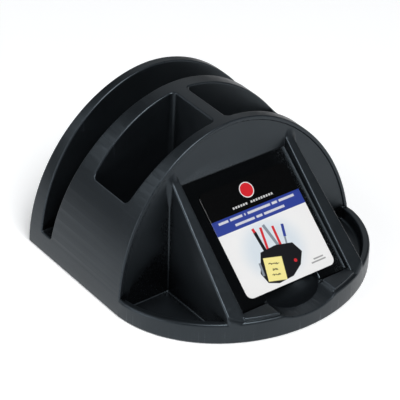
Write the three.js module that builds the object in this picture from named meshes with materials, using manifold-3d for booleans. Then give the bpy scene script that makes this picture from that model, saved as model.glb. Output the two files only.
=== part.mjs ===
// Desk organizer: one moulded body with a letter slot, two pen pockets, two side trays and a
// sloping note holder, its paper label, and four self-adhesive pads under its floors.
// Millimetres. X across, Y towards the rear, Z up. The origin is on the desk, in the middle of the plan.
import * as THREE from 'three';
import { mergeVertices } from 'three/addons/utils/BufferGeometryUtils.js';
import Module from 'manifold-3d';

const wasm = await Module();
wasm.setup();

// ---- driving dimensions ------------------------------------------------------------------------
// "back" values are distances from the rear face towards the front.
const width = 176;
const height = 99;
const depth = 166.4;
const archFullness = 1.93;          // exponent of the arch curve, 2 is a plain ellipse
const noseStartBack = 91.2;         // where the straight sides end and the curved front begins
const wall = 2.4;                   // moulded wall thickness
const wallDraft = 0.08;             // sideways run of a pocket wall for each mm of height
const standoff = 0.5;               // the pads lift the body's lower edge this far off the desk
const floorTop = 4.2;               // inside level of the pocket and tray floors

const rearBand = 5.9;               // top of the arch behind the letter slot
const slotMouth = 22.1;
const slotFoot = 9.9;               // the slot's width at its floor
const slotRearLean = 7;             // the slot's rear wall comes this far forward on its way down
const slotFloor = 13.6;

const middleBand = 9.5;             // top of the arch between the slot and the pockets
const frontBand = 6.2;              // and between the pockets and the front face
const pocketEndLand = 17.2;         // from a pocket's end wall to the side, at crown level
const pocketCorner = 3;
const dividerWidth = 8.3;
const dividerAcross = -3.25;        // the divider stands a little left of the middle

const faceFootBack = 96.8;          // the front face at desk level
const faceLean = 0.125;             // and how far it leans back for each mm of height
const faceRimWidth = 2.5;
const faceRimProud = 0.8;

const rimHeightAtFace = 12;         // tray rim, rising gently to the front
const rimRise = 0.036;
const rimWidth = 4.6;

const noteWidth = 80;               // clear width between the side bands, for 76 mm notes
const noteTopHeight = 75;           // where the side bands meet the front face
const bandFootHeight = 19.3;        // and their height where they reach the lip
const bandTopWidth = 5.3;           // width of a side band at its top
const noteBlockDraft = 0.091;       // the block spreads this much a side for each mm downwards
const wellTopDepth = 6.3;           // the well's floor below the bands, at the face
const wellFootDepth = 4.2;          // and at the lip
const wellWallTaper = 0.2;
const eaveDepth = 4.6;             // the face ends this far below the bands' top, over the well
const lipLength = 15.9;             // from the lip's inner edge to the front of the nose
const lipHeight = 16.2;
const lipInset = 2;                 // step between the lip and the edge of the nose

const scoopWidth = 41;
const scoopDepth = 5.8;
const dishInset = 1;                // the dish is this much narrower than the scoop, each side
const dishLength = 26;              // front to back
const dishBehindLip = 3.5;          // its middle, behind the lip's inner edge
const dishDepth = 9.6;

const labelTopMargin = 7.4;         // bare strips of the well's floor around the label
const labelFootMargin = 6;
const labelLeftMargin = 8.95;
const labelRightMargin = 5.55;
const labelThickness = 0.4;
const labelCorner = 4;

const padDiameter = 14;
const seatGap = 0.3;                // adhesive line under the pads and the label
const trayPadMargin = 3.9;          // from the note holder's foot to a front pad
const trayPadForward = 2.2;         // from the front face's foot to a front pad
const pocketPadMargin = 6;          // from a pocket's end wall to a rear pad

const cutClearance = 2;             // how far a cutting solid runs past the surface it opens
const mergeDistance = 1e-4;
const archSegments = 60;
const noseSegments = 44;
const roundSegments = 40;
const padSegments = 24;
const cornerSegments = 5;

// ---- values that follow from them --------------------------------------------------------------
const halfWidth = width / 2;
const rearY = depth / 2;
const noseLength = depth - noseStartBack;
const across = (back) => rearY - back;
const faceBack = (z) => faceFootBack - faceLean * z;

const slotRearFloorBack = rearBand + slotRearLean;
const slotFrontFloorBack = slotRearFloorBack + slotFoot;
const slotFrontTopBack = rearBand + slotMouth;
const pocketRearBack = slotFrontTopBack + middleBand;
const pocketFrontBack = faceBack(height) - frontBand;
const pocketEnd = halfWidth - pocketEndLand;
const dividerLeft = dividerAcross - dividerWidth / 2;
const dividerRight = dividerAcross + dividerWidth / 2;

const noteTopBack = faceBack(noteTopHeight);
const lipInnerBack = depth - lipLength;
const noteSlope = (noteTopHeight - bandFootHeight) / (lipInnerBack - noteTopBack);
const bandHeight = (back) => noteTopHeight - noteSlope * (back - noteTopBack);
const noteBlockHalf = (z) => noteWidth / 2 + bandTopWidth + noteBlockDraft * (noteTopHeight - z);
const wellStartBack = faceBack(noteTopHeight - wellTopDepth);
const wellStartHeight = bandHeight(wellStartBack) - wellTopDepth;
const wellFootHeight = bandFootHeight - wellFootDepth;
const wellSlope = (wellStartHeight - wellFootHeight) / (lipInnerBack - wellStartBack);
const wellFloor = (back) => wellStartHeight - wellSlope * (back - wellStartBack);
const slopeAngle = Math.atan(wellSlope);
const wellWall = wall * Math.hypot(1, wellSlope);   // the wall under the slope, measured upright
const eaveHeight = noteTopHeight - eaveDepth;
const eaveBack = faceBack(eaveHeight);
const eaveDrop = (eaveHeight - wellFloor(eaveBack)) * Math.cos(slopeAngle);
const wellLength = Math.hypot(wellStartHeight - wellFootHeight, lipInnerBack - wellStartBack);
const dishBack = lipInnerBack - dishBehindLip;

const labelWidth = noteWidth - labelLeftMargin - labelRightMargin;
const labelLength = wellLength - labelTopMargin - labelFootMargin;
const labelAcross = (labelLeftMargin - labelRightMargin) / 2;

const padRadius = padDiameter / 2;
const padThickness = floorTop - wall - seatGap;
const trayPadAcross = noteBlockHalf(0) + padRadius + trayPadMargin;
const trayPadBack = faceFootBack + padRadius + trayPadForward;
const pocketPadAcross = pocketEnd - wallDraft * (height - floorTop) - padRadius - pocketPadMargin;
const pocketPadBack = (pocketRearBack + pocketFrontBack) / 2;

// ---- solids ------------------------------------------------------------------------------------
function toSolid(geometry) {
  geometry.deleteAttribute('normal');
  geometry.deleteAttribute('uv');
  const merged = mergeVertices(geometry, mergeDistance);
  return new wasm.Manifold(new wasm.Mesh({
    numProp: 3,
    vertProperties: new Float32Array(merged.attributes.position.array),
    triVerts: new Uint32Array(merged.index.array),
  }));
}

function toGeometry(solid) {
  const mesh = solid.getMesh();
  const geometry = new THREE.BufferGeometry();
  geometry.setAttribute('position', new THREE.BufferAttribute(mesh.vertProperties, 3));
  geometry.setIndex(new THREE.BufferAttribute(mesh.triVerts, 1));
  geometry.computeVertexNormals();
  return geometry;
}

function reshape(geometry, move) {
  const position = geometry.attributes.position;
  const point = new THREE.Vector3();
  for (let i = 0; i < position.count; i += 1) {
    point.fromBufferAttribute(position, i);
    move(point);
    position.setXYZ(i, point.x, point.y, point.z);
  }
  return geometry;
}

function extruded(points, length) {
  return new THREE.ExtrudeGeometry(new THREE.Shape(points), { depth: length, bevelEnabled: false, steps: 1 });
}

// An outline of [back, z] points, swept across the organizer from -half to +half.
function sideways(outline, half) {
  const points = outline.map(([back, z]) => new THREE.Vector2(across(back), z));
  const turn = new THREE.Matrix4().makeBasis(
    new THREE.Vector3(0, 1, 0),
    new THREE.Vector3(0, 0, 1),
    new THREE.Vector3(1, 0, 0),
  );
  return extruded(points, 2 * half).translate(0, 0, -half).applyMatrix4(turn);
}

// The arch, swept from the rear face to the front.
function archPrism(inset, rearInset) {
  const top = height - inset;
  const half = halfWidth - inset;
  const low = inset > 0 ? -cutClearance : standoff;
  const points = [new THREE.Vector2(half, low)];
  for (let i = 1; i < archSegments; i += 1) {
    const angle = (Math.PI * i) / archSegments;
    const c = Math.cos(angle);
    const run = Math.sign(c) * Math.abs(c) ** (2 / archFullness);
    const rise = Math.sin(angle) ** (2 / archFullness);
    points.push(new THREE.Vector2(half * run, Math.max(low, top * rise)));
  }
  points.push(new THREE.Vector2(-half, low));
  return toSolid(extruded(points, depth).rotateX(Math.PI / 2).translate(0, rearY - rearInset, 0));
}

// The plan, straight at the sides with an elliptical nose, as an upright block.
function planPrism(inset, low, high) {
  const half = halfWidth - inset;
  const points = [new THREE.Vector2(half, rearY - inset), new THREE.Vector2(-half, rearY - inset)];
  for (let i = 0; i <= noseSegments; i += 1) {
    const angle = Math.PI + (Math.PI * i) / noseSegments;
    const y = across(noseStartBack) + (noseLength - inset) * Math.sin(angle);
    points.push(new THREE.Vector2(half * Math.cos(angle), y));
  }
  return toSolid(extruded(points, high - low).translate(0, 0, low));
}

// Everything behind the front face, moved back by inset.
function behindFace(inset) {
  const low = -cutClearance;
  const high = height + cutClearance;
  return toSolid(sideways([
    [-cutClearance, low],
    [faceBack(low) - inset, low],
    [faceBack(high) - inset, high],
    [-cutClearance, high],
  ], halfWidth + cutClearance));
}

// The note holder between its two side planes, which spread towards the desk, drawn in by inset.
function betweenNoteSides(outline, inset) {
  return toSolid(reshape(sideways(outline, 1), (p) => {
    p.x *= noteBlockHalf(p.z) - inset;
  }));
}

// The note holder's block, under the slope of its side bands.
function noteBlock(inset, rearBack) {
  const low = -height;
  const drop = inset * Math.hypot(1, noteSlope);
  const front = depth + cutClearance;
  return betweenNoteSides([
    [rearBack, low],
    [front, low],
    [front, bandHeight(front) - drop],
    [rearBack, bandHeight(rearBack) - drop],
  ], inset);
}

// The same block carried straight up, which keeps the side trays clear of the lip.
function noteColumn() {
  const low = -cutClearance;
  const high = height + cutClearance;
  const rear = noteTopBack - cutClearance;
  const front = depth + cutClearance;
  return betweenNoteSides([[rear, low], [front, low], [front, high], [rear, high]], 0);
}

// A pocket with a rounded plan whose four walls close in towards its floor.
function pocket(left, right, grow) {
  const low = floorTop - grow;
  const high = height + cutClearance;
  const closing = wallDraft * (height - low);
  const x0 = left - grow + closing;
  const x1 = right + grow - closing;
  const y0 = across(pocketFrontBack) - grow + closing;
  const y1 = across(pocketRearBack) + grow - closing;
  const r = pocketCorner + grow;
  const shape = new THREE.Shape();
  shape.moveTo(x0 + r, y0);
  shape.lineTo(x1 - r, y0);
  shape.absarc(x1 - r, y0 + r, r, -Math.PI / 2, 0, false);
  shape.lineTo(x1, y1 - r);
  shape.absarc(x1 - r, y1 - r, r, 0, Math.PI / 2, false);
  shape.lineTo(x0 + r, y1);
  shape.absarc(x0 + r, y1 - r, r, Math.PI / 2, Math.PI, false);
  shape.lineTo(x0, y0 + r);
  shape.absarc(x0 + r, y0 + r, r, Math.PI, Math.PI * 1.5, false);
  const block = new THREE.ExtrudeGeometry(shape, {
    depth: high - low, bevelEnabled: false, steps: 1, curveSegments: cornerSegments,
  }).translate(0, 0, low);
  const middleX = (x0 + x1) / 2;
  const middleY = (y0 + y1) / 2;
  return toSolid(reshape(block, (p) => {
    const spread = wallDraft * (p.z - low);
    p.x += Math.sign(p.x - middleX) * spread;
    p.y += Math.sign(p.y - middleY) * spread;
  }));
}

// The letter slot, open at both flanks and narrowing to its floor.
function slot(grow) {
  const high = height + cutClearance;
  const rearRun = slotRearLean / (height - slotFloor);
  const frontRun = (slotFrontTopBack - slotFrontFloorBack) / (height - slotFloor);
  const low = slotFloor - grow;
  const rear = (z) => rearBand + rearRun * (height - z) - grow;
  const front = (z) => slotFrontTopBack - frontRun * (height - z) + grow;
  return toSolid(sideways([
    [rear(low), low],
    [front(low), low],
    [front(high), high],
    [rear(high), high],
  ], halfWidth + cutClearance));
}

// The space above the note holder's floor and above its lip, widening a little upwards. At the
// top the floor runs on under the face, to a wall square to the floor.
function well(grow) {
  const floorDrop = grow > 0 ? wellWall : 0;
  const eave = [
    eaveBack - grow * Math.cos(slopeAngle),
    eaveHeight + grow * Math.sin(slopeAngle),
  ];
  const wallDrop = eaveDrop + grow;
  const lipDrop = grow;
  const high = height + cutClearance;
  const front = depth + cutClearance;
  const footBack = lipInnerBack + grow;
  const outline = [
    [faceBack(high), high],
    eave,
    [eave[0] - wallDrop * Math.sin(slopeAngle), eave[1] - wallDrop * Math.cos(slopeAngle)],
    [footBack, Math.min(wellFloor(lipInnerBack) - floorDrop, lipHeight - lipDrop)],
    [footBack, lipHeight - lipDrop],
    [front, lipHeight - lipDrop],
    [front, high],
  ];
  const geometry = sideways(outline, 1);
  return toSolid(reshape(geometry, (p) => {
    const below = bandHeight(rearY - p.y) - p.z;
    const cap = Math.max(-wellTopDepth, below);
    p.x *= noteWidth / 2 - wellWallTaper * cap + grow;
  }));
}

// The half-round finger scoop through the lip, and the dish that runs from it into the floor.
function scoop(grow) {
  const channel = new THREE.CylinderGeometry(1, 1, depth, roundSegments, 1);
  channel.scale(scoopWidth / 2 + grow, 1, scoopDepth + grow);
  channel.translate(0, across(dishBack) - depth / 2, lipHeight);
  const dish = new THREE.SphereGeometry(1, roundSegments, roundSegments / 2).rotateX(Math.PI / 2);
  dish.scale(scoopWidth / 2 - dishInset + grow, dishLength / 2 + grow, dishDepth + grow);
  dish.translate(0, across(dishBack), lipHeight);
  return toSolid(channel).add(toSolid(dish));
}

// Below the tray rim, which rises gently towards the nose.
function underRim() {
  const rise = (back) => rimHeightAtFace + rimRise * (back - faceFootBack);
  const front = depth + cutClearance;
  return toSolid(sideways([
    [-cutClearance, -cutClearance],
    [front, -cutClearance],
    [front, rise(front)],
    [-cutClearance, rise(-cutClearance)],
  ], halfWidth + cutClearance));
}

function lipBlock() {
  const half = noteWidth / 2 + wellWallTaper * wellFootDepth;
  const bar = toSolid(sideways([
    [lipInnerBack - wall, -cutClearance],
    [depth, -cutClearance],
    [depth, lipHeight],
    [lipInnerBack - wall, lipHeight],
  ], half));
  return bar.intersect(planPrism(lipInset, -cutClearance, lipHeight + cutClearance));
}

// ---- pieces ------------------------------------------------------------------------------------
function moulding() {
  const envelope = archPrism(0, 0).intersect(planPrism(0, standoff, height + cutClearance));
  const block = noteBlock(0, noteTopBack - cutClearance);
  const recess = archPrism(faceRimWidth, 0).subtract(behindFace(faceRimProud));
  const behind = behindFace(0).subtract(recess);
  const outside = behind.add(underRim()).add(block).add(lipBlock()).intersect(envelope);
  const trays = planPrism(rimWidth, floorTop, height).subtract(behind).subtract(noteColumn());

  const leftPocket = (grow) => pocket(-pocketEnd, dividerLeft, grow);
  const rightPocket = (grow) => pocket(dividerRight, pocketEnd, grow);
  const cuts = [slot, leftPocket, rightPocket, well, scoop];

  // The hollow underneath keeps a full wall behind every outer face and around every cut.
  const behindCore = archPrism(wall, wall).intersect(behindFace(wall + faceRimProud));
  const noteCore = noteBlock(wall, noteTopBack - 2 * wall).intersect(planPrism(wall, -cutClearance, height));
  const underFloors = planPrism(wall, -cutClearance, floorTop - wall);
  let core = behindCore.add(noteCore).add(underFloors);
  for (const cut of cuts) core = core.subtract(cut(wall));

  let body = outside.subtract(trays);
  for (const cut of cuts) body = body.subtract(cut(0));
  return body.subtract(core);
}

function label() {
  const w = labelWidth / 2;
  const l = labelLength / 2;
  const r = labelCorner;
  const shape = new THREE.Shape();
  shape.moveTo(-w + r, -l);
  shape.lineTo(w - r, -l);
  shape.absarc(w - r, -l + r, r, -Math.PI / 2, 0, false);
  shape.lineTo(w, l - r);
  shape.absarc(w - r, l - r, r, 0, Math.PI / 2, false);
  shape.lineTo(-w + r, l);
  shape.absarc(-w + r, l - r, r, Math.PI / 2, Math.PI, false);
  shape.lineTo(-w, -l + r);
  shape.absarc(-w + r, -l + r, r, Math.PI, Math.PI * 1.5, false);
  return new THREE.ExtrudeGeometry(shape, {
    depth: labelThickness, bevelEnabled: false, steps: 1, curveSegments: cornerSegments,
  });
}

// ---- assembly ----------------------------------------------------------------------------------
const plastic = new THREE.MeshStandardMaterial({ color: 0x2b2f33, roughness: 0.5, metalness: 0 });
const paper = new THREE.MeshStandardMaterial({ color: 0xf0f2f5, roughness: 0.35, metalness: 0 });
const rubber = new THREE.MeshStandardMaterial({ color: 0x141414, roughness: 0.9, metalness: 0 });

const organizer = new THREE.Group();

function addPiece(name, geometry, material) {
  const mesh = new THREE.Mesh(geometry, material.clone());
  mesh.name = name;
  organizer.add(mesh);
  return mesh;
}

addPiece('organizer_body', toGeometry(moulding()), plastic);

const alongSlope = labelTopMargin + labelLength / 2;
const labelBack = wellStartBack + alongSlope * Math.cos(slopeAngle) + seatGap * Math.sin(slopeAngle);
const labelLevel = wellFloor(wellStartBack) - alongSlope * Math.sin(slopeAngle) + seatGap * Math.cos(slopeAngle);
const labelMesh = addPiece('label', label(), paper);
labelMesh.rotation.x = slopeAngle;
labelMesh.position.set(labelAcross, across(labelBack), labelLevel);

const padPlaces = [
  ['pad_front_left', -trayPadAcross, trayPadBack],
  ['pad_front_right', trayPadAcross, trayPadBack],
  ['pad_rear_left', -pocketPadAcross, pocketPadBack],
  ['pad_rear_right', pocketPadAcross, pocketPadBack],
];
for (const [name, x, back] of padPlaces) {
  const disc = new THREE.CylinderGeometry(padRadius, padRadius, padThickness, padSegments);
  disc.rotateX(Math.PI / 2);
  const pad = addPiece(name, disc, rubber);
  pad.position.set(x, across(back), padThickness / 2);
}

export default organizer;
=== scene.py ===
import math
import time
from concurrent.futures import ThreadPoolExecutor

import bmesh
import bpy
import numpy as np
import openvdb as vdb
from mathutils import Matrix, Vector


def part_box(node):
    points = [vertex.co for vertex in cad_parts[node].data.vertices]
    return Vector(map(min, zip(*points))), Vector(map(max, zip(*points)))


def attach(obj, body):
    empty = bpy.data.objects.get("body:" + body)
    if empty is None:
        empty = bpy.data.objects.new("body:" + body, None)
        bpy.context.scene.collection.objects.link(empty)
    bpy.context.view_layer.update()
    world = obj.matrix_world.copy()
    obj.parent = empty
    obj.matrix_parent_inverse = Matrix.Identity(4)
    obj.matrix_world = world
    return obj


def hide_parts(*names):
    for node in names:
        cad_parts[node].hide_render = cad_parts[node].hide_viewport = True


began = time.time()
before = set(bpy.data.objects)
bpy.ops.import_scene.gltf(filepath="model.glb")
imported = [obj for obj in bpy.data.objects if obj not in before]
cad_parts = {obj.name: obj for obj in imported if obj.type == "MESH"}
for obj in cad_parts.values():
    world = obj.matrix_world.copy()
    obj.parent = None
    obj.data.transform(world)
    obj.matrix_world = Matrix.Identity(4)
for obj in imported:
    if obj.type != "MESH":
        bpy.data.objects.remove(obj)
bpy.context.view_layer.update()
print("frame loaded")

bodyLow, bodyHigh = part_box("organizer_body")
rearY = bodyHigh.y * 1000  # the rear face, mm


# camera, floor and lights

cameraSetup = {
    "place": (-0.67437, -0.83856, 0.76701),
    "right": (0.79982, -0.59958, 0.02832),
    "up": (0.31652, 0.46137, 0.82884),
    "back": (-0.51002, -0.65395, 0.55879),
    "lens": 194.46,
    "sensor": 36.0,
    "clip": (0.05, 20),
}


def makeCamera(setup):
    data = bpy.data.cameras.new("camera")
    data.sensor_width = setup["sensor"]
    data.lens = setup["lens"]
    data.clip_start, data.clip_end = setup["clip"]
    camera = bpy.data.objects.new("camera", data)
    turn = Matrix((setup["right"], setup["up"], setup["back"])).transposed()
    camera.matrix_world = Matrix.Translation(setup["place"]) @ turn.to_4x4()
    bpy.context.scene.collection.objects.link(camera)
    bpy.context.scene.camera = camera


studio = {
    "world": (0.92, 0.96, 1.0, 1.0),
    "worldStrength": 0.05,
    "floor": (0.93, 0.93, 0.93, 1.0),
    "floorGlow": 0.25,  # keeps the background white under soft lamps
    "floorHalf": 4.0,
    "lamps": [
        # name, place, target, size, power, colour
        ("frontTopKey", (-0.20, -0.95, 1.6), (0, 0, 0.03), 0.9, 30.0, (0.98, 0.99, 1.0)),
        ("leftFill", (-1.9, 0.1, 0.55), (0, 0, 0.03), 1.0, 10.0, (0.96, 0.98, 1.0)),
        ("leftTop", (-1.2, 0.9, 1.3), (0, 0, 0.06), 1.0, 7.0, (0.96, 0.98, 1.0)),
        ("rightFill", (1.5, -1.3, 0.5), (0, 0, 0.03), 0.8, 2.0, (0.96, 0.98, 1.0)),
        ("backRight", (1.1, 1.4, 1.25), (0, 0, 0.08), 1.6, 4.0, (0.96, 0.98, 1.0)),
    ],
}


def makeLamp(name, place, target, size, power, colour):
    data = bpy.data.lights.new(name, "AREA")
    data.shape = "SQUARE"
    data.size = size
    data.energy = power
    data.color = colour
    lamp = bpy.data.objects.new(name, data)
    lamp.location = place
    lamp.rotation_mode = "QUATERNION"
    lamp.rotation_quaternion = (Vector(target) - Vector(place)).to_track_quat("-Z", "Y")
    bpy.context.scene.collection.objects.link(lamp)


def makeStudio(setup):
    world = bpy.data.worlds.new("studio")
    world.use_nodes = True
    background = world.node_tree.nodes["Background"]
    background.inputs["Color"].default_value = setup["world"]
    background.inputs["Strength"].default_value = setup["worldStrength"]
    bpy.context.scene.world = world
    for lamp in setup["lamps"]:
        makeLamp(*lamp)
    mesh = bpy.data.meshes.new("floor")
    half = setup["floorHalf"]
    corners = [(-half, -half, 0), (half, -half, 0), (half, half, 0), (-half, half, 0)]
    mesh.from_pydata(corners, [], [(0, 1, 2, 3)])
    floor = bpy.data.objects.new("floor", mesh)
    bpy.context.scene.collection.objects.link(floor)
    paint = bpy.data.materials.new("floorPaint")
    paint.use_nodes = True
    surface = paint.node_tree.nodes["Principled BSDF"]
    surface.inputs["Base Color"].default_value = setup["floor"]
    surface.inputs["Roughness"].default_value = 0.9
    surface.inputs["Emission Color"].default_value = (1.0, 1.0, 1.0, 1.0)
    surface.inputs["Emission Strength"].default_value = setup["floorGlow"]
    surface.inputs["Specular IOR Level"].default_value = 0.1
    mesh.materials.append(paint)
    bpy.context.scene.view_settings.view_transform = "Standard"


makeCamera(cameraSetup)
makeStudio(studio)
print("studio ready")


# shader maths written as expressions

class Wire:  # an output socket that takes part in expressions
    def __init__(self, finish, socket):
        self.finish = finish
        self.socket = socket

    def math(self, operation, first, second):
        return self.finish.node("ShaderNodeMath", {"operation": operation}, {0: first, 1: second})

    def __add__(self, other):
        return self.math("ADD", self, other)

    def __radd__(self, other):
        return self.math("ADD", other, self)

    def __sub__(self, other):
        return self.math("SUBTRACT", self, other)

    def __rsub__(self, other):
        return self.math("SUBTRACT", other, self)

    def __mul__(self, other):
        return self.math("MULTIPLY", self, other)

    def __rmul__(self, other):
        return self.math("MULTIPLY", other, self)

    def __truediv__(self, other):
        return self.math("DIVIDE", self, other)

    def __rtruediv__(self, other):
        return self.math("DIVIDE", other, self)

    def __pow__(self, other):
        return self.math("POWER", self, other)

    def __rpow__(self, other):
        return self.math("POWER", other, self)


class Finish:  # a node material
    def __init__(self, name):
        self.material = bpy.data.materials.new(name)
        self.material.use_nodes = True
        self.tree = self.material.node_tree
        self.tree.nodes.clear()
        output = self.tree.nodes.new("ShaderNodeOutputMaterial")
        self.surface = self.tree.nodes.new("ShaderNodeBsdfPrincipled")
        self.tree.links.new(self.surface.outputs[0], output.inputs["Surface"])

    # any node: its type, its settings, then what its sockets are fed
    def node(self, kind, settings, inputs, outputs=0):
        made = self.tree.nodes.new(kind)
        for key, value in settings.items():
            setattr(made, key, value)
        for key, value in inputs.items():
            self.feed(made.inputs[key], value)
        if isinstance(outputs, tuple):
            return tuple(Wire(self, made.outputs[key]) for key in outputs)
        return Wire(self, made.outputs[outputs])

    def feed(self, socket, value):
        if isinstance(value, Wire):
            self.tree.links.new(value.socket, socket)
        else:
            socket.default_value = value

    def shine(self, **inputs):  # what the surface shader is fed
        for key, value in inputs.items():
            self.feed(self.surface.inputs[key.replace("_", " ")], value)

    # the piece's own coordinates in mm
    def millimetres(self):
        place = self.node("ShaderNodeTexCoord", {}, {}, "Object")
        return self.node("ShaderNodeVectorMath", {"operation": "SCALE"}, {0: place, "Scale": 1000.0})

    def split(self, vector):
        return self.node("ShaderNodeSeparateXYZ", {}, {0: vector}, ("X", "Y", "Z"))

    def stretch(self, vector, factors):
        return self.node("ShaderNodeVectorMath", {"operation": "MULTIPLY"}, {0: vector, 1: factors})

    def noise(self, vector, scale, detail=2.0, roughness=0.5):
        inputs = {"Vector": vector, "Scale": scale, "Detail": detail, "Roughness": roughness}
        return self.node("ShaderNodeTexNoise", {}, inputs, "Fac")

    def blend(self, factor, first, second):  # of two colours
        return self.node("ShaderNodeMix", {"data_type": "RGBA"}, {0: factor, 6: first, 7: second}, 2)

    def ramp(self, value, low, high):  # 0 below low, 1 above high, smooth between
        return self.node(
            "ShaderNodeMapRange",
            {"interpolation_type": "SMOOTHSTEP"},
            {"Value": value, "From Min": low, "From Max": high, "To Min": 0.0, "To Max": 1.0},
        )

    def least(self, first, second):
        return self.node("ShaderNodeMath", {"operation": "MINIMUM"}, {0: first, 1: second})

    def size(self, value):
        return self.node("ShaderNodeMath", {"operation": "ABSOLUTE"}, {0: value})

    def bump(self, height, distance, strength):
        inputs = {"Height": height, "Distance": distance, "Strength": strength}
        return self.node("ShaderNodeBump", {}, inputs)


# the moulding, as a distance field in mm

moulding = {
    # the arched body; distances called back run from the rear face towards the front
    "halfWidth": bodyHigh.x * 1000,
    "height": bodyHigh.z * 1000,
    "depth": (bodyHigh.y - bodyLow.y) * 1000,
    "lowEdge": bodyLow.z * 1000,
    "archFullness": 1.93,
    "noseStart": 91.2,
    "wall": 2.4,
    "wallDraft": 0.08,
    "floorTop": 4.2,
    # the bands of the top and the openings between them
    "rearBand": 5.9,
    "slotMouth": 22.1,
    "slotFoot": 9.9,
    "slotRearLean": 7.0,
    "slotFloor": 13.6,
    "middleBand": 9.5,
    "frontBand": 6.2,
    "pocketEndLand": 17.2,
    "pocketCorner": 3.0,
    "dividerWidth": 8.3,
    "dividerAcross": -3.25,
    # the leaning face and the skirt
    "faceFoot": 96.8,
    "faceLean": 0.125,
    "faceRimWidth": 2.5,
    "faceRimProud": 0.8,
    "rimHeight": 12.0,
    "rimRise": 0.036,
    "rimWidth": 4.6,
    # the note holder
    "noteWidth": 80.0,
    "noteTopHeight": 75.0,
    "bandFootHeight": 19.3,
    "bandTopWidth": 5.3,
    "noteDraft": 0.091,
    "holderTuck": 4,  # how far the holder runs in behind the face
    "wellTopDepth": 6.3,
    "wellFootDepth": 4.2,
    "wellTaper": 0.2,
    "eaveDepth": 4.6,
    "eaveReach": 3,
    "lipLength": 15.9,
    "lipHeight": 16.2,
    "lipInset": 2.0,
    "scoopHalf": 20.5,
    "scoopDepth": 5.8,
    "dishInset": 1.0,
    "dishLength": 26.0,
    "dishBehindLip": 3.5,
    "dishDepth": 9.6,
    "scoopBelow": 14,  # the deepest the scoop goes under the slope
    # edge roundings and fillets
    "archEdge": 0.95,
    "rimEdge": 0.45,
    "faceEdge": 0.9,
    "skirtEdge": 1.8,
    "trayEdge": 1.1,
    "trayFillet": 2.0,
    "bandEdge": 1.0,
    "foldFillet": 0.9,
    "bandTopFillet": 2.2,
    "bandTopFrom": 58,  # the height where that fillet starts to grow
    "bandTopOver": 10,
    "leastFillet": 0.02,
    "slotEdge": 0.95,
    "slotFillet": 1.0,
    "pocketEdge": 1.0,
    "pocketFillet": 2.0,
    "wellEdge": 0.5,
    "wellFillet": 0.6,
    "wellCorner": 0.2,
    "eaveEdge": 0.12,
    "lipEdge": 0.8,
    "lipFillet": 0.25,
    "scoopEdge": 1.2,
    "coreEdge": 0.3,
}

# the floor of the well, which the card, the polish and the painted shade on it follow: back from the rear face,
# and heights
wellFall = {"back": 88.2125, "front": 150.5, "high": 67.965, "low": 15.1}
wellDrop = wellFall["high"] - wellFall["low"]
wellRun = wellFall["front"] - wellFall["back"]


def roundMax(a, b, r):  # both at once, with the edge between them rounded
    return np.minimum(-r, np.maximum(a, b)) + np.hypot(np.maximum(a + r, 0), np.maximum(b + r, 0))


def roundMin(a, b, r):  # either, with the corner between them filled
    return np.maximum(r, np.minimum(a, b)) - np.hypot(np.maximum(r - a, 0), np.maximum(r - b, 0))


def ellipseField(parts, radii, tiny=1e-6):
    near = np.sqrt(sum((p / r) ** 2 for p, r in zip(parts, radii)) + tiny)
    slope = np.sqrt(sum((p / r**2) ** 2 for p, r in zip(parts, radii)) + tiny**2)
    return near * (near - 1) / slope


def archField(x, z, m, tiny=1e-6):
    n = m["archFullness"]
    u = np.abs(x) / m["halfWidth"] + tiny
    v = np.maximum(z, 0) / m["height"] + tiny
    total = u**n + v**n
    value = total ** (1 / n) - 1
    steep = total ** (1 / n - 1) * np.hypot(u ** (n - 1) / m["halfWidth"], v ** (n - 1) / m["height"])
    return value / steep


def noseField(x, back, m):
    forward = np.maximum(back - m["noseStart"], 0)
    ends = ellipseField((x, forward), (m["halfWidth"], m["depth"] - m["noseStart"]))
    return np.where(back > m["noseStart"], ends, np.abs(x) - m["halfWidth"])


def pocketField(x, back, z, left, right, rear, front, m):
    closing = m["wallDraft"] * (m["height"] + 2 - z)
    r = m["pocketCorner"]
    dx = np.abs(x - (left + right) / 2) - ((right - left) / 2 - closing - r)
    dy = np.abs(back - (rear + front) / 2) - ((front - rear) / 2 - closing - r)
    plan = np.minimum(np.maximum(dx, dy), 0) + np.hypot(np.maximum(dx, 0), np.maximum(dy, 0)) - r
    return roundMax(plan, m["floorTop"] - z, m["pocketFillet"])


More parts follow.
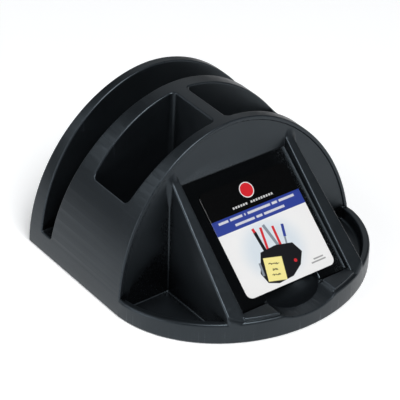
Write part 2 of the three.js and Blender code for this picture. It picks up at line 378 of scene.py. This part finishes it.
def mouldingField(x, y, z, m=moulding):
    back = rearY - y
    arch = archField(x, z, m)
    nose = noseField(x, back, m)
    lean = math.hypot(1, m["faceLean"])
    face = (back - (m["faceFoot"] - m["faceLean"] * z)) / lean

    # the arched body behind the front face, whose middle is sunk inside a narrow rim
    recess = roundMax(arch + m["faceRimWidth"], -(face + m["faceRimProud"]), m["rimEdge"])
    behind = roundMax(face, -recess, m["rimEdge"])
    behind = roundMax(behind, roundMax(arch, -back, m["archEdge"]), m["faceEdge"])

    # the skirt, hollowed into trays
    rimPlane = z - (m["rimHeight"] + m["rimRise"] * (back - m["faceFoot"]))
    sides = roundMax(np.maximum(arch, nose), -back, m["archEdge"])
    skirt = roundMax(rimPlane, sides, m["skirtEdge"])
    tray = roundMax(nose + m["rimWidth"], m["floorTop"] - z, m["trayFillet"])
    cup = roundMax(skirt, -tray, m["trayEdge"])

    # the note holder
    topBack = m["faceFoot"] - m["faceLean"] * m["noteTopHeight"]
    lipBack = m["depth"] - m["lipLength"]
    slope = (m["noteTopHeight"] - m["bandFootHeight"]) / (lipBack - topBack)
    bands = (z - (m["noteTopHeight"] - slope * (back - topBack))) / math.hypot(1, slope)
    half = m["noteWidth"] / 2 + m["bandTopWidth"] + m["noteDraft"] * (m["noteTopHeight"] - z)
    side = (np.abs(x) - half) / math.hypot(1, m["noteDraft"])
    holder = roundMax(np.minimum(bands, rimPlane), sides, m["skirtEdge"])
    holder = roundMax(side, holder, m["bandEdge"])
    holder = np.maximum(holder, topBack - m["holderTuck"] - back)

    # where the fillets grow: away from the rim, beside the well, and near the bands' tops
    inner = np.clip((-nose - 6) / 3, 0, 1)
    beside = np.clip((np.abs(x) - m["noteWidth"] / 2 + 0.5) / 2.5, 0, 1)
    bandEnds = beside * np.clip((z - m["bandTopFrom"]) / m["bandTopOver"], 0, 1)
    solid = roundMin(cup, holder, m["foldFillet"] * inner + m["leastFillet"])

    # the well, cut down to its floor; at the top the floor runs on under the face
    wellTop = m["noteTopHeight"] - m["wellTopDepth"]
    wellBack = m["faceFoot"] - m["faceLean"] * wellTop
    wellHigh = m["noteTopHeight"] - slope * (wellBack - topBack) - m["wellTopDepth"]
    wellLow = m["bandFootHeight"] - m["wellFootDepth"]
    fall = (wellHigh - wellLow) / (lipBack - wellBack)
    floor = (wellHigh - fall * (back - wellBack) - z) / math.hypot(1, fall)
    under = np.minimum(-bands, m["wellTopDepth"]) * m["wellTaper"]
    wellSide = np.abs(x) - (m["noteWidth"] / 2 - np.maximum(under, -m["wellTopDepth"] * m["wellTaper"]))
    aboveRim = m["rimHeight"] + m["rimRise"] * (m["depth"] - m["faceFoot"]) + 0.4
    well = roundMax(floor, back - lipBack, m["wellFillet"])
    well = np.minimum(well, np.maximum(aboveRim - z, lipBack - 1 - back))  # open above the lip
    well = roundMax(well, wellSide, m["wellCorner"])
    solid = roundMax(solid, -well, m["wellEdge"])
    fillet = (m["foldFillet"] * beside + m["bandTopFillet"] * bandEnds) * inner + m["leastFillet"]
    solid = roundMin(solid, behind, fillet)
    fallTilt = math.atan(fall)
    eave = m["noteTopHeight"] - m["eaveDepth"]
    eaveBack = m["faceFoot"] - m["faceLean"] * eave
    along = (back - eaveBack) * math.cos(fallTilt) - (z - eave) * math.sin(fallTilt)
    undercut = np.maximum(np.maximum(floor, wellSide), np.maximum(-along, back - eaveBack - m["eaveReach"]))
    solid = roundMax(solid, -undercut, m["eaveEdge"])
    wellCut = np.minimum(np.maximum(well, -face), undercut)

    # the lip in front of the well
    lipHalf = m["noteWidth"] / 2 + m["wellTaper"] * m["wellFootDepth"]
    lip = roundMax(z - m["lipHeight"], np.maximum(nose + m["lipInset"], lipBack - back), m["lipEdge"])
    lip = np.maximum(lip, np.abs(x) - lipHalf)
    solid = roundMin(solid, lip, m["lipFillet"])

    # the finger scoop and the dish behind it
    dishBack = lipBack - m["dishBehindLip"]
    lift = z - m["lipHeight"]
    channel = ellipseField((x, lift), (m["scoopHalf"], m["scoopDepth"]))
    channel = np.maximum(channel, lipBack - m["wellFillet"] - back)
    dishRadii = (m["scoopHalf"] - m["dishInset"], m["dishLength"] / 2, m["dishDepth"])
    dish = ellipseField((x, back - dishBack, lift), dishRadii)
    scoop = np.maximum(np.minimum(channel, dish), -floor - m["scoopBelow"])
    solid = roundMax(solid, -scoop, m["scoopEdge"])

    # the letter slot
    steep = math.hypot(1, m["slotRearLean"] / (m["height"] - m["slotFloor"]))
    rise = (m["height"] - z) / (m["height"] - m["slotFloor"])
    slotRear = (m["rearBand"] + m["slotRearLean"] * rise - back) / steep
    frontLean = m["rearBand"] + m["slotMouth"] - (m["rearBand"] + m["slotRearLean"] + m["slotFoot"])
    slotFront = back - (m["rearBand"] + m["slotMouth"] - frontLean * rise)
    slot = roundMax(np.maximum(slotRear, slotFront), m["slotFloor"] - z, m["slotFillet"])
    solid = roundMax(solid, -slot, m["slotEdge"])

    # the pen pockets
    pocketRear = m["rearBand"] + m["slotMouth"] + m["middleBand"]
    pocketFront = m["faceFoot"] - m["faceLean"] * m["height"] - m["frontBand"]
    pocketEnd = m["halfWidth"] - m["pocketEndLand"]
    dividerLeft = m["dividerAcross"] - m["dividerWidth"] / 2
    dividerRight = m["dividerAcross"] + m["dividerWidth"] / 2
    leftPocket = pocketField(x, back, z, -pocketEnd, dividerLeft, pocketRear, pocketFront, m)
    rightPocket = pocketField(x, back, z, dividerRight, pocketEnd, pocketRear, pocketFront, m)
    pockets = np.minimum(leftPocket, rightPocket)
    solid = roundMax(solid, -pockets, m["pocketEdge"])

    # the open underside, a full wall behind every face
    w = m["wall"]
    core = np.maximum(np.maximum(arch + w, w - back), face + w + m["faceRimProud"])
    noteCore = np.maximum(np.maximum(side + w, bands + w), np.maximum(nose + w, topBack - 2 * w - back))
    underFloors = np.maximum(nose + w, z - (m["floorTop"] - w))
    core = np.minimum(np.minimum(core, noteCore), underFloors)
    for cut in (wellCut, scoop, slot, pockets):
        core = np.maximum(core, w - cut)
    solid = roundMax(solid, -core, m["coreEdge"])
    return roundMax(solid, m["lowEdge"] - z, m["coreEdge"])


# the field turned into a mesh

meshing = {
    "steps": ((0.55, 0.4, 0.5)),  # mm along x, y and z
    "slab": 16,
    "mostFaces": 185000,
    "slopeReach": 0.05,  # mm, for moving points onto the surface
    "shadeReach": 0.18,  # for the normals
    "bendReach": 0.45,
    "mostBend": 2,
    "hiddenReaches": (2.0, 5.0, 11.0, 22.0),
    "insideBox": 0.001,
}


def fieldSlope(field, points, reach):
    slopes = []
    for axis in range(3):
        shift = np.zeros(3)
        shift[axis] = reach
        ahead, behind = points + shift, points - shift
        slopes.append((field(*ahead.T) - field(*behind.T)) / (2 * reach))
    return np.stack(slopes, axis=1)


def fieldBend(field, points, reach):  # positive on outside edges, negative in inside corners
    total = -6 * field(*points.T)
    for axis in range(3):
        for way in (-reach, reach):
            shift = np.zeros(3)
            shift[axis] = way
            total += field(*(points + shift).T)
    return total / reach**2


def ontoSurface(field, points, mostMove, reach):
    away = np.clip(field(*points.T), -mostMove, mostMove)
    slope = fieldSlope(field, points, reach)
    steepness = np.maximum((slope**2).sum(1), 0.2)
    return points - away[:, None] * slope / steepness[:, None]


def meshFromField(name, field, low, high, setup):
    steps = np.array(setup["steps"])
    reach = 3 * steps.max()
    axes = [np.arange(low[i] - reach, high[i] + reach, steps[i], dtype=np.float32) for i in range(3)]
    shape = [len(a) for a in axes]
    values = np.empty(shape, np.float32)
    y, z = axes[1][None, :, None], axes[2][None, None, :]

    def sample(start):
        x = axes[0][start:start + setup["slab"], None, None]
        values[start:start + setup["slab"]] = np.clip(field(x, y, z), -reach, reach)

    with ThreadPoolExecutor(4) as pool:
        list(pool.map(sample, range(0, shape[0], setup["slab"])))
    print(name, "field sampled", shape, round(time.time() - began, 1))
    grid = vdb.FloatGrid(reach)
    grid.copyFromArray(values)
    points, _, quads = grid.convertToPolygons(isovalue=0.0, adaptivity=0.0)
    origin = np.array([a[0] for a in axes])
    points = np.asarray(points, float) * steps + origin
    print(name, "surface found", len(points), round(time.time() - began, 1))
    points = ontoSurface(field, points, 0.4, setup["slopeReach"])
    mesh = bpy.data.meshes.new(name)
    mesh.vertices.add(len(points))
    mesh.vertices.foreach_set("co", (points / 1000).astype(np.float32).ravel())
    mesh.loops.add(4 * len(quads))
    mesh.loops.foreach_set("vertex_index", quads[:, ::-1].astype(np.int32).ravel())
    mesh.polygons.add(len(quads))
    mesh.polygons.foreach_set("loop_start", np.arange(0, 4 * len(quads), 4, dtype=np.int32))
    mesh.update(calc_edges=True)
    print(name, "vertices", len(mesh.vertices), "faces", len(mesh.polygons), round(time.time() - began, 1))
    return mesh


def signedVolume(mesh):
    mesh.calc_loop_triangles()
    corners = np.zeros(len(mesh.loop_triangles) * 3, np.int32)
    mesh.loop_triangles.foreach_get("vertices", corners)
    points = np.zeros(len(mesh.vertices) * 3)
    mesh.vertices.foreach_get("co", points)
    a, b, c = points.reshape(-1, 3)[corners.reshape(-1, 3)].transpose(1, 0, 2)
    return float((a * np.cross(b, c)).sum() / 6)


def makeBody():
    low, high = [v * 1000 for v in bodyLow], [v * 1000 for v in bodyHigh]
    mesh = meshFromField("body", mouldingField, low, high, meshing)
    if signedVolume(mesh) < 0:
        mesh.flip_normals()
    mesh.calc_loop_triangles()
    count = len(mesh.loop_triangles)
    print("triangles", count)
    piece = bpy.data.objects.new("body", mesh)
    bpy.context.scene.collection.objects.link(piece)
    if count > meshing["mostFaces"]:
        thin = piece.modifiers.new("thin", "DECIMATE")
        thin.ratio = meshing["mostFaces"] / count
        thinned = bpy.data.meshes.new_from_object(piece.evaluated_get(bpy.context.evaluated_depsgraph_get()))
        piece.modifiers.clear()
        piece.data = thinned
        mesh = thinned
        print("thinned to", len(mesh.polygons), round(time.time() - began, 1))
    points = np.zeros(len(mesh.vertices) * 3)
    mesh.vertices.foreach_get("co", points)
    points = points.reshape(-1, 3) * 1000
    for _ in range(2):
        points = ontoSurface(mouldingField, points, 0.3, meshing["slopeReach"])
    margin = meshing["insideBox"]
    points = np.clip(points, np.array(low) + margin, np.array(high) - margin)
    mesh.vertices.foreach_set("co", (points / 1000).ravel())
    mesh.update()
    slope = fieldSlope(mouldingField, points, meshing["shadeReach"])
    slope /= np.linalg.norm(slope, axis=1)[:, None] + 1e-9
    most = meshing["mostBend"]
    bend = np.clip(fieldBend(mouldingField, points, meshing["bendReach"]), -most, most)
    # the material paints shade into the colour by this
    hidden = np.zeros(len(points))
    for reach in meshing["hiddenReaches"]:  # how much of the space in front of each point is filled
        filled = 1 - np.clip(mouldingField(*(points + slope * reach).T) / reach, 0, 1)
        hidden += filled / len(meshing["hiddenReaches"])
    for name, values in (("bend", bend), ("hidden", hidden)):
        attribute = mesh.attributes.new(name, "FLOAT", "POINT")
        attribute.data.foreach_set("value", values.astype(np.float32))
    mesh.polygons.foreach_set("use_smooth", np.ones(len(mesh.polygons), bool))
    mesh.normals_split_custom_set_from_vertices(slope.tolist())
    return piece


bodyFinish = {
    "dark": (0.0042, 0.0052, 0.0062, 1.0),
    "light": (0.0068, 0.0082, 0.0098, 1.0),
    "worn": (0.020, 0.024, 0.029, 1.0),
    # painted shade: the near-black for the hollows and the well floor
    "shadeBlack": (0.0012, 0.0013, 0.0015, 1.0),
    "dust": (0.050, 0.058, 0.062, 1.0),
    "tint": (0.75, 0.89, 1.0, 1.0),
    "roughness": 0.37,
    "glossy": 0.13,
    "grain": 2.6,  # grains per mm
    "grainDepth": 0.00003,
    "shadeRange": (0.28, 0.74),
    "edgeWear": 0.55,
    # the polished floor of the well with painted shade on it, and the dust along its right side
    "wellReach": (84.5, 150.3),
    "wellHalf": 38.3,
    "dustRange": (24.0, 38.0),
    "dustAmount": 0.35,
    # mould lines across the bands and scuffs on the left flank
    "lineAcross": 52.4,
    "lineHalf": 0.42,
    "lineAbove": (70.0, 72.0),
    "scuffAt": (-77.0, -4.0, 46.0),
    "scuffReach": 14,
    "scuffAmount": 0.35,
}


def bodyMaterial(look):
    f = Finish("slatePlastic")
    place = f.millimetres()
    x, y, z = f.split(place)
    grain = f.noise(place, look["grain"], 3.0, 0.6)
    clouds = f.noise(place, 0.045, 3.0, 0.55)
    mottle = f.noise(place, 0.5, 2.0, 0.6)
    bend = f.node("ShaderNodeAttribute", {"attribute_name": "bend"}, {}, "Fac")
    hidden = f.node("ShaderNodeAttribute", {"attribute_name": "hidden"}, {}, "Fac")
    worn = f.ramp(bend + (mottle - 0.5) * 0.25, 0.25, 1.1)
    tone = clouds * 0.6 + mottle * 0.25 + grain * 0.15
    colour = f.blend(f.ramp(tone, 0.3, 0.7), look["dark"], look["light"])
    colour = f.blend(worn * look["edgeWear"], colour, look["worn"])
    # painted shade: darker where the space in front of the surface is filled, deep in the pockets, slot and
    # hollows
    shadeMask = f.ramp(hidden, *look["shadeRange"])
    colour = f.blend(shadeMask, colour, look["shadeBlack"])
    rough = look["roughness"] + (mottle - 0.5) * 0.12 + (grain - 0.5) * 0.1 - worn * 0.08 - shadeMask * 0.10
    # the well's floor: glossier, and painted near-black as shade
    back = rearY - y
    first, last = look["wellReach"]
    above = z - wellFall["high"] + (back - wellFall["back"]) * (wellDrop / wellRun)
    inside = f.least(look["wellHalf"] - f.size(x), f.least(back - first, last - back))
    wellGlossAndShade = f.ramp(inside, 0.0, 0.6) * f.ramp(0.9 - f.size(above + 0.4), 0.0, 0.4)
    dust = f.ramp(f.noise(place, 1.7, 2.0, 0.7), 0.56, 0.64) * f.ramp(x, *look["dustRange"])
    # painted shade on the well floor
    colour = f.blend(wellGlossAndShade, colour, look["shadeBlack"])
    colour = f.blend(wellGlossAndShade * dust * look["dustAmount"], colour, look["dust"])
    rough = rough + wellGlossAndShade * (look["glossy"] - look["roughness"] + dust * 0.3)
    # mould lines
    onBand = f.ramp(z, *look["lineAbove"])
    across = f.ramp(look["lineHalf"] - f.size(x + look["lineAcross"]), 0.0, 0.25)
    line = across * onBand * f.ramp(mottle, 0.3, 0.5)
    colour = f.blend(line * 0.5, colour, look["worn"])
    # scuffs
    streaks = f.noise(f.stretch(place, (0.12, 1.3, 0.5)), 1.0, 4.0, 0.7)
    cx, cy, cz = look["scuffAt"]
    gap = ((x - cx) * (x - cx) + (y - cy) * (y - cy) + (z - cz) * (z - cz)) ** 0.5
    scuff = f.ramp(streaks, 0.56, 0.70) * f.ramp(look["scuffReach"] - gap, 0.0, 8.0)
    colour = f.blend(scuff * look["scuffAmount"], colour, look["worn"])
    rough = rough + scuff * 0.12 + line * 0.1
    f.shine(
        Base_Color=colour,
        Roughness=rough,
        Normal=f.bump(grain + line * 2.0, look["grainDepth"], 0.7),
        Specular_IOR_Level=0.5,
        Specular_Tint=look["tint"],
    )
    return f.material


body = makeBody()
body.data.materials.append(bodyMaterial(bodyFinish))
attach(body, "root")
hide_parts("organizer_body")
print("body made")


# the printed label in the well

labelPiece = {
    "corner": 4.0,
    "edge": 0.12,
    "thick": 0.4,
    "fall": math.atan2(wellDrop, wellRun),
    "header": 18.6,
    "band": 9.1,
    "soft": 0.14,  # half the width of a printed edge
    "black": (0.0012, 0.0013, 0.0015, 1.0),
    "blue": (0.024, 0.046, 0.27, 1.0),
    "white": (0.82, 0.81, 0.80, 1.0),
    "glow": (0.50, 0.61, 0.70, 1.0),
    "red": (0.62, 0.020, 0.028, 1.0),
    "yellow": (0.86, 0.76, 0.29, 1.0),
    "ink": (0.004, 0.004, 0.006, 1.0),
    "grey": (0.22, 0.25, 0.29, 1.0),
    # places are in mm from the card's left edge and from its top edge
    "glowAt": (31, 46),
    "pens": [
        # from, to, width, paint
        (24.0, 33.0, 25.2, 47.0, 2.2, "ink"),
        (23.6, 30.6, 24.0, 33.2, 1.9, "red"),
        (29.0, 31.6, 26.8, 47.0, 1.7, "red"),
        (31.4, 30.8, 35.4, 48.0, 2.0, "grey"),
        (37.0, 33.4, 36.4, 47.0, 1.7, "red"),
        (43.7, 34.4, 41.8, 42.0, 1.9, "blue"),
        (41.6, 42.0, 39.8, 50.0, 1.2, "grey"),
    ],
    "outline": [
        (33.0, 44.6), (44.4, 47.0), (47.8, 54.0), (43.0, 61.0), (35.0, 65.6),
        (24.0, 66.4), (17.2, 63.8), (15.1, 57.0), (21.4, 45.4),
    ],
    "sideLine": (17.6, 51, 16.6, 59, 1.5),
    "dot": (41.0, 57.5, 1.1),
    "noteAt": (25.6, 57.6),
    "noteTurn": 13.5,
    "noteHalf": (6.3, 7.2),
    "noteLines": [(-3.4, 3.6), (0.2, 1.8), (3.4, 2.8)],
    "footWords": [(61.2, 52.6, 59.8), (63.0, 50.2, 60.8)],
    "bandWords": [
        # how far down, then from and to
        (20.9, 4.2, 11.2), (20.9, 12.6, 21.6), (20.9, 23.2, 24.0), (20.9, 25.6, 42.4), (20.9, 43.8, 47.6),
        (20.9, 49.0, 60.4), (24.9, 14.4, 28.6), (24.9, 30.0, 34.4), (24.9, 35.8, 51.0),
    ],
    "headerWords": [(17.8, 28.6), (30.8, 47.4)],
    "headerLine": (14.6, 15.9),
    "discAt": (32.2, 7.6),
    "discRadii": (4.9, 4.4),  # the white ring, then the red
}


def makeLabel(look):
    low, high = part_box("label")
    wide = (high.x - low.x) * 1000 / 2
    fall, thick, r = look["fall"], look["thick"], look["corner"]
    tall = ((high.z - low.z) * 1000 - thick * math.cos(fall)) / math.sin(fall) / 2
    mesh = bpy.data.meshes.new("label_print")
    work = bmesh.new()
    outline = []
    across, along = wide - r, tall - r
    for cx, cy, start in ((across, along, 0), (-across, along, 90), (-across, -along, 180), (across, -along, 270)):
        for i in range(9):
            angle = math.radians(start + i * 90 / 8)
            outline.append(work.verts.new((cx + r * math.cos(angle), cy + r * math.sin(angle), thick / 2)))
    top = work.faces.new(outline)
    below = bmesh.ops.extrude_face_region(work, geom=[top])
    for v in [g for g in below["geom"] if isinstance(g, bmesh.types.BMVert)]:
        v.co.z -= thick
    bmesh.ops.recalc_face_normals(work, faces=work.faces)
    rim = [e for e in work.edges if abs(e.verts[0].co.z - e.verts[1].co.z) < 1e-6 and len(e.link_faces) == 2]
    bmesh.ops.bevel(work, geom=rim, offset=look["edge"], segments=2, affect="EDGES", profile=0.5)
    turn = Matrix.Rotation(fall, 4, "X")
    work.transform(Matrix.Translation((low + high) / 2) @ turn @ Matrix.Scale(0.001, 4))
    work.to_mesh(mesh)
    work.free()
    piece = bpy.data.objects.new("label_print", mesh)
    bpy.context.scene.collection.objects.link(piece)
    return piece


def labelMaterial(look):
    f = Finish("printedCard")
    low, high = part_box("label")
    place = f.millimetres()
    x, y, z = f.split(place)
    c, s = math.cos(look["fall"]), math.sin(look["fall"])
    u = x - low.x * 1000
    v = (high.y * 1000 * c + high.z * 1000 * s) - (y * c + z * s)
    soft = look["soft"]

    def bar(u0, u1, v0, v1, au=u, av=v):
        return f.ramp(f.least(f.least(au - u0, u1 - au), f.least(av - v0, v1 - av)), -soft, soft)

    def disc(cu, cv, r):
        away = ((u - cu) * (u - cu) + (v - cv) * (v - cv)) ** 0.5
        return f.ramp(r - away, -soft, soft)

    def strip(u0, v0, u1, v1, width):  # a bar from one point to another
        long = math.hypot(u1 - u0, v1 - v0)
        du, dv = (u1 - u0) / long, (v1 - v0) / long
        along = (u - u0) * du + (v - v0) * dv
        aside = (v - v0) * du - (u - u0) * dv
        return bar(0, long, -width / 2, width / 2, along, aside)

    def patch(corners):  # a filled outline, corners in turn
        inside = None
        for (u0, v0), (u1, v1) in zip(corners, corners[1:] + corners[:1]):
            long = math.hypot(u1 - u0, v1 - v0)
            edge = u * ((v0 - v1) / long) + v * ((u1 - u0) / long) + (u0 * (v1 - v0) - v0 * (u1 - u0)) / long
            inside = edge if inside is None else f.least(inside, edge)
        return f.ramp(inside, -soft, soft)

    # the small picture of an organizer with pens and a note
    cu, cv = look["glowAt"]
    spot = ((u - cu) * (u - cu) + (v - cv) * (v - cv) * 1.3) ** 0.5
    colour = f.blend(f.ramp(27 - spot, 0.0, 14.0) * 0.55, look["white"], look["glow"])
    for *ends, width, paint in look["pens"]:
        colour = f.blend(strip(*ends, width), colour, look[paint])
    colour = f.blend(patch(look["outline"]), colour, look["ink"])
    colour = f.blend(strip(*look["sideLine"]), colour, look["grey"])
    colour = f.blend(disc(*look["dot"]) * 0.9, colour, look["red"])
    turn = math.radians(look["noteTurn"])
    du, dv = math.cos(turn), math.sin(turn)
    cu, cv = look["noteAt"]
    noteU = (u - cu) * du + (v - cv) * dv
    noteV = (v - cv) * du - (u - cu) * dv
    halfU, halfV = look["noteHalf"]
    colour = f.blend(bar(-halfU, halfU, -halfV, halfV, noteU, noteV), colour, look["yellow"])
    wobble = (f.noise(place, 0.9, 1.0) - 0.5) * 2.4
    for row, half in look["noteLines"]:
        scribble = bar(-half, half, row - 0.35, row + 0.35, noteU, noteV + wobble)
        colour = f.blend(scribble * 0.85, colour, look["ink"])
    for v0, u0, u1 in look["footWords"]:
        colour = f.blend(bar(u0, u1, v0 - 0.45, v0 + 0.45) * 0.6, colour, look["ink"])
    # the blue band with its lines of bars, and the black heading with a plain red disc
    ink = f.noise(place, 1.6, 2.0, 0.6)
    top, foot = look["header"], look["header"] + look["band"]
    colour = f.blend(bar(-5, 80, top - 1, foot), colour, look["blue"])
    for v0, u0, u1 in look["bandWords"]:
        colour = f.blend(bar(u0, u1, v0 - 0.75, v0 + 0.75) * (0.45 + ink * 0.55), colour, look["white"])
    colour = f.blend(1 - f.ramp(v, top - soft, top + soft), colour, look["black"])
    beat = f.node("ShaderNodeMath", {"operation": "FRACT"}, {0: u / 1.9})
    for u0, u1 in look["headerWords"]:
        letters = bar(u0, u1, *look["headerLine"]) * f.ramp(beat, 0.25, 0.4)
        colour = f.blend(letters * 0.7, colour, look["white"])
    for radius, paint in zip(look["discRadii"], ("white", "red")):
        colour = f.blend(disc(*look["discAt"], radius), colour, look[paint])
    fibre = f.noise(place, 5.0, 3.0, 0.6)
    f.shine(
        Base_Color=colour,
        Roughness=0.15 + (fibre - 0.5) * 0.06 + f.ramp(v, 17.0, 20.5) * 0.15,
        Normal=f.bump(fibre, 0.000004, 0.4),
        Specular_IOR_Level=0.45,
    )
    return f.material


label = makeLabel(labelPiece)
label.data.materials.append(labelMaterial(labelPiece))
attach(label, "root")
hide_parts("label")
print("label made")


# the rubber pads

padPiece = {
    "names": ("pad_front_left", "pad_front_right", "pad_rear_left", "pad_rear_right"),
    "round": 0.35,
    "roundSteps": (0, 0.5, 1.05, math.pi / 2),
    "ringPitch": 1.1,
    "turns": 48,
    "dark": (0.006, 0.006, 0.0065, 1.0),
    "light": (0.014, 0.014, 0.015, 1.0),
}


def padMesh(name, low, high, look):
    radius, tall = (high.x - low.x) / 2, high.z - low.z
    r = look["round"] / 1000
    profile = [(radius * k / 6, 0) for k in range(6)]
    profile += [(radius - r + r * math.sin(a), r - r * math.cos(a)) for a in look["roundSteps"]]
    profile += [(radius - r + r * math.cos(a), tall - r + r * math.sin(a)) for a in look["roundSteps"]]
    profile += [(0, tall)]
    work = bmesh.new()
    middle = (low + high) / 2
    chain = [work.verts.new((p, 0, h)) for p, h in profile]
    for a, b in zip(chain, chain[1:]):
        work.edges.new((a, b))
    line = work.verts[:] + work.edges[:]
    spin = {"cent": (0, 0, 0), "axis": (0, 0, 1), "angle": 2 * math.pi, "steps": look["turns"]}
    bmesh.ops.spin(work, geom=line, **spin)
    bmesh.ops.remove_doubles(work, verts=work.verts, dist=1e-6)
    bmesh.ops.recalc_face_normals(work, faces=work.faces)
    work.transform(Matrix.Translation((middle.x, middle.y, low.z)))
    mesh = bpy.data.meshes.new(name)
    work.to_mesh(mesh)
    work.free()
    mesh.polygons.foreach_set("use_smooth", np.ones(len(mesh.polygons), bool))
    return mesh


def padMaterial(look, middle):
    f = Finish("padRubber")
    place = f.millimetres()
    fine = f.noise(place, 3.0, 3.0, 0.6)
    x, y, _ = f.split(place)
    cx, cy = middle.x * 1000, middle.y * 1000
    away = ((x - cx) * (x - cx) + (y - cy) * (y - cy)) ** 0.5
    rings = f.node("ShaderNodeMath", {"operation": "SINE"}, {0: away * (2 * math.pi / look["ringPitch"])})
    f.shine(
        Base_Color=f.blend(fine, look["dark"], look["light"]),
        Roughness=0.78 + (fine - 0.5) * 0.2,
        Normal=f.bump(rings * 0.5 + fine * 0.3, 0.00006, 0.6),
    )
    return f.material


for padName in padPiece["names"]:
    padLow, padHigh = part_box(padName)
    pad = bpy.data.objects.new(padName + "_rubber", padMesh(padName + "_rubber", padLow, padHigh, padPiece))
    pad.data.materials.append(padMaterial(padPiece, (padLow + padHigh) / 2))
    bpy.context.scene.collection.objects.link(pad)
    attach(pad, "root")
    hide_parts(padName)
print("pads made")
